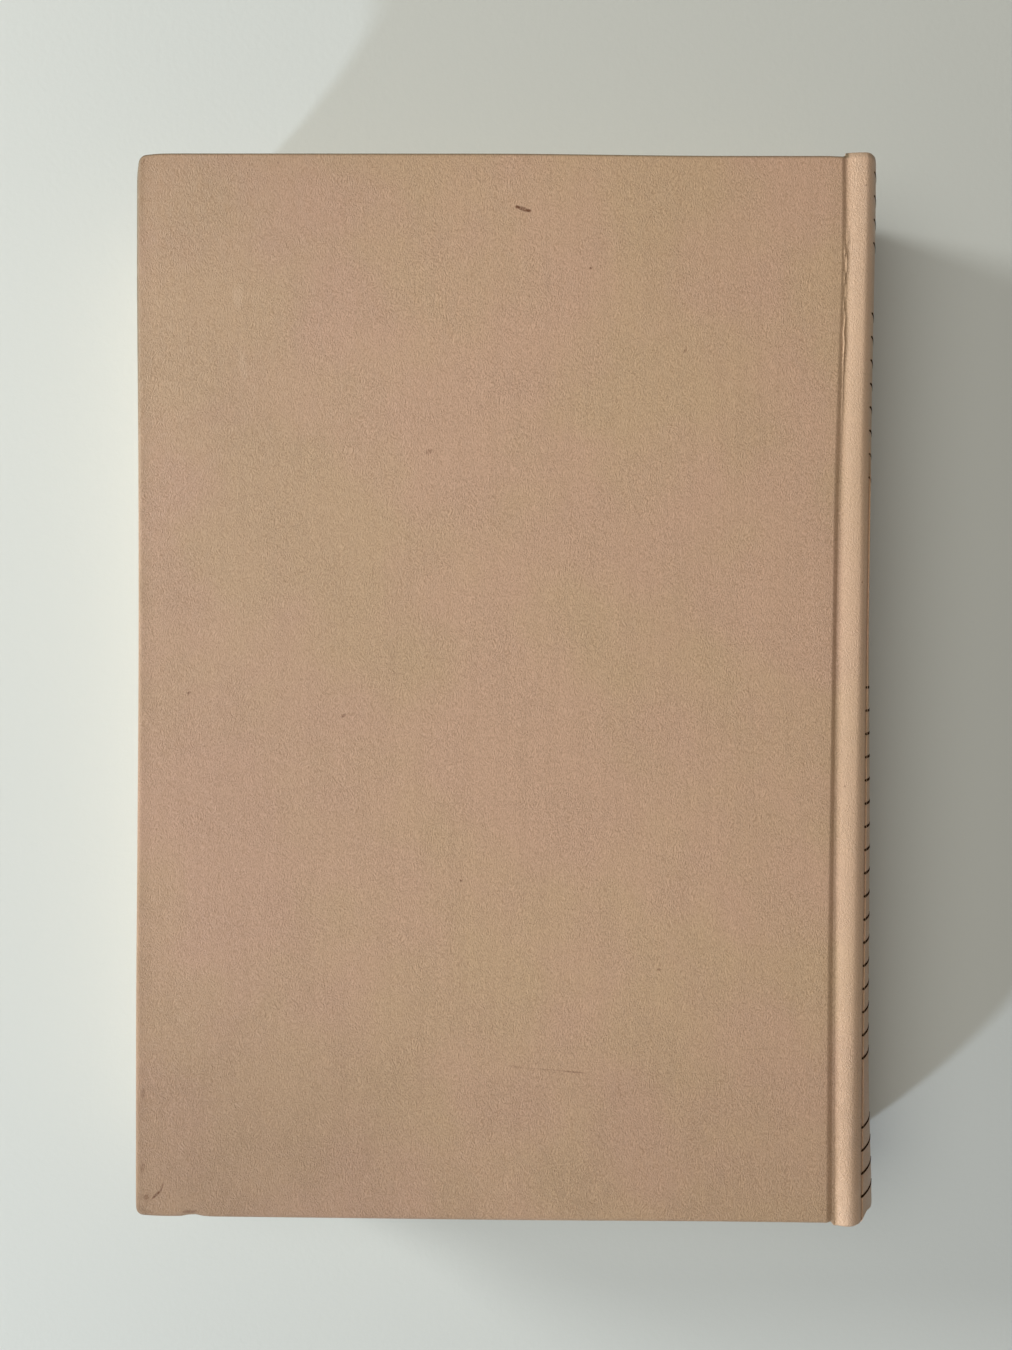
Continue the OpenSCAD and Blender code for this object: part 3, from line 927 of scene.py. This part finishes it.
def board_tone_and_painted_light(f, sheet, x, up):
    """Painted light: the colour runs lighter towards the spine, against the lamps' falloff. It has soft
    pinker patches and is darker at both ends.
    """
    # Painted light: the board is lighter towards the spine, to make up for the lamps' light falling off
    # that way
    across = f.span(x, -130.0, -60.0)
    colour = f.mix(across, (0.58, 0.367, 0.256), (0.628, 0.398, 0.267))
    pink = f.span(f.noise(sheet, 0.022, 3.0, 0.55, flat=True), 0.35, 0.65)
    patches = f.mix(pink, (0.985, 1.012, 0.955), (1.02, 0.985, 1.035))
    colour = f.mix(1.0, colour, patches, "MULTIPLY")
    streaks = f.noise(f.scaled(sheet, (0.5, 0.03, 1.0)), 1.0, 2.0, flat=True)
    colour = f.mix(f.span(streaks, 0.35, 0.75, 0.0, 0.14), colour, (0.48, 0.30, 0.20))
    fore = f.math("SUBTRACT", 1.0, across)
    ends = []
    for start, end, at_fore, everywhere in ((-45.0, -108.0, 0.28, 0.24), (70.0, 106.0, 0.16, 0.06)):
        most = f.math("ADD", f.math("MULTIPLY", fore, at_fore), everywhere)
        ends.append(f.math("MULTIPLY", f.span(up, start, end), most))
    return f.mix(f.math("ADD", *ends), colour, (0.37, 0.225, 0.15))


def leatherette(side):
    f = Finish("leatherette_" + side, Roughness=0.5, Specular_IOR_Level=0.35)
    sheet, ridge = f.coords("sheet"), f.value("ridge")
    x, up = f.xy(sheet)
    grain = embossed_grain(f, sheet, up)
    colour = board_tone_and_painted_light(f, sheet, x, up)
    # Painted shade: the grain's hollows are painted darker, standing in for part of the shading of the
    # relief
    colour = f.mix(f.span(grain, 0.16, -0.2, 0.0, 0.5), colour, (0.33, 0.19, 0.11))
    # Painted highlight: the ridge, and the spine's round less so, are painted lighter where the mask is
    colour = f.mix(f.math("MULTIPLY", ridge, 0.55), colour, (0.71, 0.468, 0.33))
    if side == "back":
        colour = back_wear(f, sheet, x, up, ridge, colour)
    f.set("Base Color", colour)
    f.set("Roughness", f.span(ridge, 0.0, 1.0, 0.52, 0.38))
    f.set("Normal", f.bump(grain, 0.15))
    return f.material


def rim_mask(f, x, up, ridge):
    """Where the rolled edges at the head and at the fore-edge are darkened."""
    fore = f.math("MULTIPLY", f.span(x, -137.0, -137.8), f.span(up, 30.0, 75.0, 0.2, 0.8))
    fore = f.math("MULTIPLY", fore, f.span(x, -140.3, -138.8))
    head = f.span(up, 104.6, 105.4, 0.0, 0.85)
    head = f.math("MULTIPLY", head, f.span(up, 107.6, 106.2, 0.1, 1.0))
    return f.math("MULTIPLY", f.math("MAXIMUM", head, fore), f.span(ridge, 0.0, 1.0, 1.0, 0.35))


def back_wear(f, sheet, x, up, ridge, colour):
    """Specks, scuffs, the scratch, grime along the fore-edge and at the tail corner."""
    ragged = f.span(f.noise(sheet, 2.4, 2.0, flat=True), 0.3, 0.6)
    ragged = f.math("ADD", f.math("MULTIPLY", ragged, 0.5), 0.55)
    marks = f.math("MULTIPLY", mark_mask(f, sheet, MARKS), ragged, clamp=True)
    uneven = f.span(f.noise(sheet, 0.12, 3.0, flat=True), 0.3, 0.7, 0.45, 1.0)
    edge = f.math("MULTIPLY", f.span(x, -134.0, -138.6, 0.0, 0.34), uneven)
    head_edge = f.math("MULTIPLY", f.span(x, -135.6, -137.3, 0.0, 0.5), f.span(up, 84.0, 98.0))
    corner = f.node("VectorMath", sheet, (-138.0, -105.5, 0.0), operation="DISTANCE", out=1)
    blotches = f.span(f.noise(sheet, 0.5, 4.0, 0.65, flat=True), 0.35, 0.62)
    grime = f.math("MULTIPLY", f.span(corner, 6.5, 1.0, 0.0, 0.62), blotches)
    for mask, tint in (
        (marks, (0.17, 0.065, 0.03)),
        (mark_mask(f, sheet, RUBS), (0.62, 0.42, 0.30)),
        (edge, (0.30, 0.18, 0.11)),
        (head_edge, (0.33, 0.20, 0.115)),
        (rim_mask(f, x, up, ridge), (0.13, 0.10, 0.055)),
        (grime, (0.24, 0.13, 0.075)),
    ):
        colour = f.mix(mask, colour, tint)
    return colour


def paper(name, colour, dark):
    f = Finish(name, Roughness=0.85, Specular_IOR_Level=0.2)
    at = f.place()
    tone = f.noise(at, 18.0, 4.0, 0.6)
    speck = f.noise(at, 900.0, 3.0, 0.7)
    tint = f.mix(f.span(tone, 0.35, 0.75, 0.0, 0.5), colour, dark)
    f.set("Base Color", f.mix(f.span(speck, 0.55, 0.8, 0.0, 0.12), tint, dark))
    f.set("Normal", f.bump(speck, 0.012))
    return f.material


def sheet_paper(name):
    """Endpaper: smooth, a little foxed, with the slight cockle of glued paper."""
    f = Finish(name, Roughness=0.8, Specular_IOR_Level=0.25)
    sheet = f.coords("sheet")
    tone = f.noise(sheet, 0.018, 4.0, 0.6, flat=True)
    tint = f.mix(f.span(tone, 0.35, 0.75), (0.83, 0.78, 0.66), (0.77, 0.70, 0.56))
    speck = f.noise(sheet, 1.3, 3.0, 0.7, flat=True)
    f.set("Base Color", f.mix(f.span(speck, 0.66, 0.8, 0.0, 0.2), tint, (0.55, 0.42, 0.27)))
    cockle = f.math("ADD", f.noise(sheet, 0.09, 2.0, flat=True), f.math("MULTIPLY", speck, 0.06))
    f.set("Normal", f.bump(cockle, 0.35))
    return f.material


def leaf_edges():
    """Cut leaves seen edge on: fine lines along the layers, slightly browned."""
    f = Finish("leaf_edges", Roughness=0.9, Specular_IOR_Level=0.15)
    layer = f.value("layer")
    x, y = (f.math("MULTIPLY", part, 9.0) for part in f.xy(f.place()))
    lines = f.noise(f.node("CombineXYZ", f.math("MULTIPLY", layer, 1.9), y, x), 1.0, 2.0, 0.7)
    broad = f.noise(f.node("CombineXYZ", f.math("MULTIPLY", layer, 0.16), 0.0, 0.0), 1.0, 3.0)
    tint = f.mix(f.span(lines, 0.35, 0.7), (0.76, 0.68, 0.53), (0.56, 0.46, 0.32))
    f.set("Base Color", f.mix(f.span(broad, 0.35, 0.7, 0.0, 0.35), tint, (0.72, 0.62, 0.45)))
    f.set("Normal", f.bump(lines, 0.08))
    return f.material


STRIPE_PITCH = 1.6


def woven(name, colour, dark, pitch_mm, stripe=None):
    """Plain weave by two crossed waves, with an optional second colour in stripes."""
    f = Finish(name, Roughness=0.85, Sheen_Weight=0.2)
    at = f.place()
    weave = f.math("MULTIPLY", *(f.wave(at, axis, pitch_mm, 0.6) for axis in ("X", "Y")))
    tint = f.mix(weave, dark, colour)
    if stripe:
        tint = f.mix(f.span(f.wave(at, "Z", STRIPE_PITCH), 0.45, 0.55), tint, stripe)
    f.set("Base Color", tint)
    f.set("Normal", f.bump(weave, 0.12))
    return f.material


def board_grey():
    f = Finish("greyboard", Roughness=0.95, Specular_IOR_Level=0.1)
    at = f.place()
    flecks = f.noise(at, 700.0, 3.0, 0.7)
    tint = f.mix(f.span(flecks, 0.35, 0.7), (0.30, 0.28, 0.24), (0.40, 0.38, 0.33))
    f.set("Base Color", tint)
    f.set("Normal", f.bump(f.noise(at, 1500.0, 2.0), 0.05))
    return f.material


def foil():
    f = Finish("dark_foil", Roughness=0.9, Specular_IOR_Level=0.02)
    at = f.place()
    worn = f.noise(at, 1400.0, 2.0)
    rubbed = f.span(worn, 0.5, 0.8, 0.0, 0.35)
    f.set("Base Color", f.mix(rubbed, (0.045, 0.018, 0.007), (0.16, 0.085, 0.045)))
    f.set("Normal", f.bump(worn, 0.02))
    return f.material


def glue():
    f = Finish("glue_film", Roughness=0.35, Specular_IOR_Level=0.5)
    at = f.place()
    runs = f.noise(at, 120.0, 3.0)
    f.set("Base Color", f.mix(f.span(runs, 0.35, 0.7), (0.78, 0.66, 0.40), (0.66, 0.52, 0.28)))
    f.set("Normal", f.bump(runs, 0.1))
    return f.material


def paint(obj, material):
    obj.data.materials.clear()
    obj.data.materials.append(material)


# The floor's half width and how far it lies under the book, in metres
FLOOR_HALF, FLOOR_DROP = 3.0, 0.0002


def make_floor():
    mesh = bpy.data.meshes.new("floor")
    w = FLOOR_HALF
    mesh.from_pydata([(-w, -w, 0), (w, -w, 0), (w, w, 0), (-w, w, 0)], [], [(0, 1, 2, 3)])
    floor = bpy.data.objects.new("floor", mesh)
    floor.location.z = -FLOOR_DROP
    bpy.context.scene.collection.objects.link(floor)
    f = Finish("floor_paper", Roughness=0.6, Specular_IOR_Level=0.2)
    at = f.place()
    tone = f.noise(at, 3.0, 2.0)
    f.set("Base Color", f.mix(tone, (0.675, 0.677, 0.672), (0.705, 0.706, 0.702)))
    f.set("Normal", f.bump(f.noise(at, 800.0, 2.0), 0.03))
    paint(floor, f.material)
    floor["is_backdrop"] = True


# Colour and strength of the light from all round, and of what the camera sees past the floor
AMBIENT, BACKDROP = ((0.98, 0.96, 0.84), 0.205), ((0.74, 0.75, 0.74), 1.0)


def make_world():
    world = bpy.data.worlds.new("studio")
    bpy.context.scene.world = world
    world.use_nodes = True
    tree = world.node_tree
    tree.nodes.clear()
    out = tree.nodes.new("ShaderNodeOutputWorld")
    mix = tree.nodes.new("ShaderNodeMixShader")
    path = tree.nodes.new("ShaderNodeLightPath")
    for i, (colour, strength) in enumerate((AMBIENT, BACKDROP)):
        back = tree.nodes.new("ShaderNodeBackground")
        back.inputs[0].default_value = colour + (1.0,)
        back.inputs[1].default_value = strength
        tree.links.new(back.outputs[0], mix.inputs[1 + i])
    tree.links.new(path.outputs["Is Camera Ray"], mix.inputs[0])
    tree.links.new(mix.outputs[0], out.inputs[0])


# Where each lamp's light comes from in degrees, its height, distance, size in metres, power, colour
LAMPS = (
    ("window", 227, 21.5, 1.8, 0.13, 15.2, (0.85, 1.0, 1.12)),
    ("low_side", 159, 14.0, 1.63, 0.41, 22.5, (0.97, 1.02, 0.97)),
    ("softbox", 162, 63.0, 0.9, 0.76, 3.4, (0.97, 0.97, 0.86)),
)


def make_lamps():
    middle = Vector((0.0, 0.0, 0.015))
    for name, turn, rise, away, size, power, colour in LAMPS:
        data = bpy.data.lights.new(name, "AREA")
        data.shape, data.size, data.energy, data.color = "DISK", size, power, colour
        lamp = bpy.data.objects.new(name, data)
        a, e = math.radians(turn), math.radians(rise)
        way = Vector((math.cos(a) * math.cos(e), math.sin(a) * math.cos(e), math.sin(e)))
        lamp.location = middle + way * away
        lamp.rotation_mode = "QUATERNION"
        lamp.rotation_quaternion = (-way).to_track_quat("-Z", "Y")
        bpy.context.scene.collection.objects.link(lamp)


# The photo's focal length, middle and point straight below the camera, in its pixels, and the
# camera's place from the local zero
FOCAL, FRAME_CENTRE, NADIR, FRAME_LONG = 1014.0, (506.0, 675.0), (517.0, 665.0), 1350.0
CAMERA = (-62.4, 5.35, 215.2)


def make_camera():
    """Hand-held straight above the book, leaning by about half a degree."""
    data = bpy.data.cameras.new("camera")
    data.sensor_fit, data.sensor_width = "AUTO", 36.0
    data.lens = data.sensor_width * FOCAL / FRAME_LONG
    data.clip_start = 0.01
    camera = bpy.data.objects.new("camera", data)
    aside, ahead = NADIR[0] - FRAME_CENTRE[0], FRAME_CENTRE[1] - NADIR[1]
    down = Vector((aside / FOCAL, ahead / FOCAL, -1.0))
    camera.rotation_mode = "QUATERNION"
    camera.rotation_quaternion = down.rotation_difference(Vector((0.0, 0.0, -1.0)))
    camera.location = Vector(ORIGIN + np.array(CAMERA)) * MM
    bpy.context.scene.collection.objects.link(camera)
    bpy.context.scene.camera = camera


def main():
    bpy.context.scene.view_settings.view_transform = "Standard"
    make_camera()
    make_world()
    make_lamps()
    make_floor()
    end_paper = sheet_paper("endpaper")
    foil_finish = foil()
    for side in ("back", "front"):
        paint(make_case(side), leatherette(side))
        paint(make_strokes(side), foil_finish)
        paint(make_pastedown(side), end_paper)
        paint(make_flyleaf(side), end_paper)
    paint(make_spine(), leatherette("front"))
    paint(make_pages(), leaf_edges())
    paint(make_inlay(), paper("inlay_card", (0.46, 0.42, 0.34), (0.38, 0.34, 0.27)))
    gauze = woven("gauze", (0.74, 0.71, 0.62), (0.45, 0.40, 0.30), 0.8)
    paint(make_gauze(), gauze)
    grey = board_grey()
    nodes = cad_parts
    for side in ("back", "front"):
        paint(nodes[side + "_board"], grey)
        paint(nodes[side + "_gauze_flap"], gauze)
    paint(nodes["spine_glue"], glue())
    paint(nodes["spine_lining"], paper("kraft_lining", (0.46, 0.32, 0.17), (0.38, 0.25, 0.13)))
    pale, shade, brown = (0.70, 0.62, 0.45), (0.50, 0.42, 0.28), (0.42, 0.22, 0.10)
    band = woven("band_cloth", pale, shade, 0.35, stripe=brown)
    for end in ("head", "tail"):
        paint(nodes[end + "_band"], band)


main()

boxes = {"cad": cad_box, "visual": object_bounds()}
{k: [list(corner) for corner in v] for k, v in boxes.items()}
